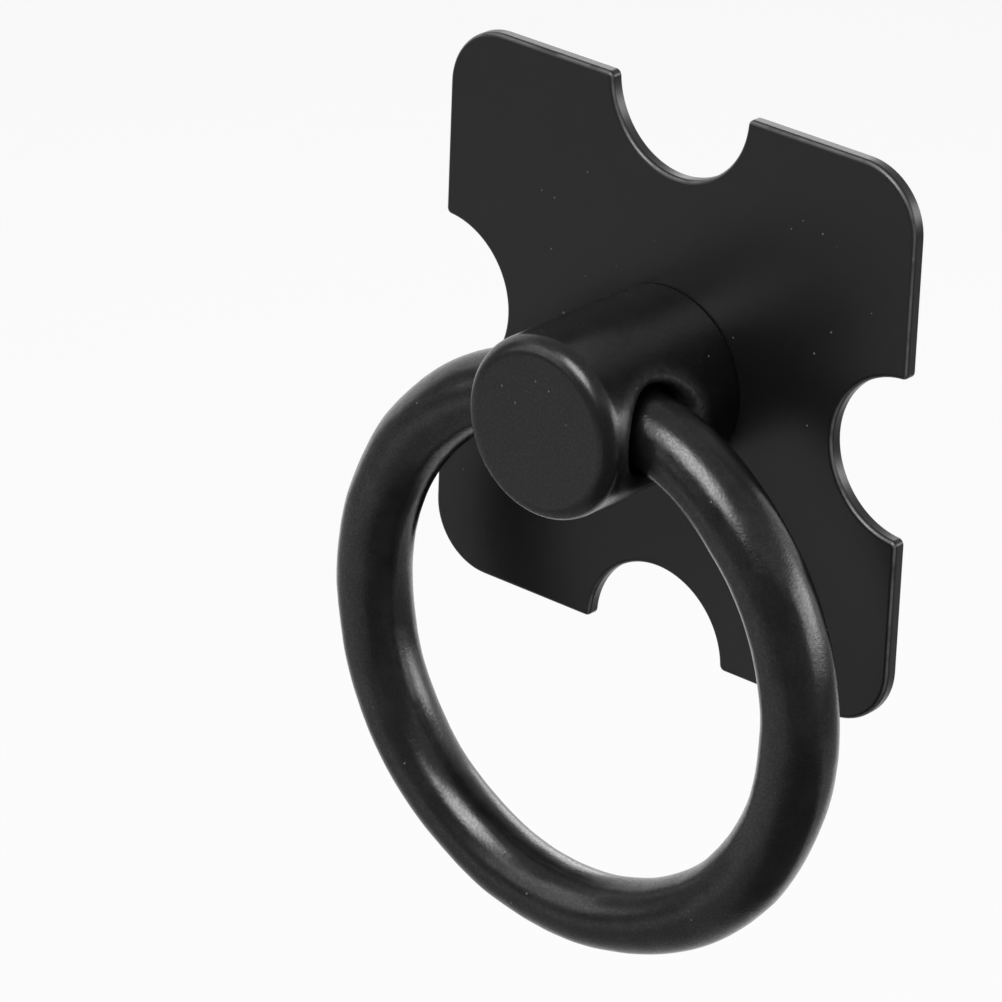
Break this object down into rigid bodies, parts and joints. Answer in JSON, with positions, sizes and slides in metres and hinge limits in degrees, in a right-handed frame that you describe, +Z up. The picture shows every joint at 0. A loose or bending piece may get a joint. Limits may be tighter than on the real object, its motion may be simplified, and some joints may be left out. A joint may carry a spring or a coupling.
{
  "type": "ring pull handle",
  "caption": "Drop ring pull for a drawer or cabinet door: a round ring of bar hangs in the cross-drilled eye of a short post on a square, notched back plate.",
  "frame": {"origin": "centre of the back plate's rear face, where the fixing screw enters the post", "axes": "+X to the right, +Y out of the rear face into the drawer front, +Z up; the ring hangs towards -Z in front of the plate, on the -Y side"},
  "size_m": [0.0484, 0.016, 0.067],
  "materials": {
    "plate_coat": "satin black powder coat on stamped sheet",
    "post_coat": "satin black powder coat on a turned post",
    "ring_coat": "satin black powder coat on bent bar"
  },
  "bodies": {
    "base": {"back_plate": "plate_coat", "post": "post_coat"},
    "ring": {"ring": "ring_coat"}
  },
  "joints": [
    {"name": "ring_swing", "type": "hinge", "parent": "base", "child": "ring", "pos_m": [0, -0.00955, 0], "axis": [-1, 0, 0], "range_deg": [-8.5, 188.5]}
  ]
}
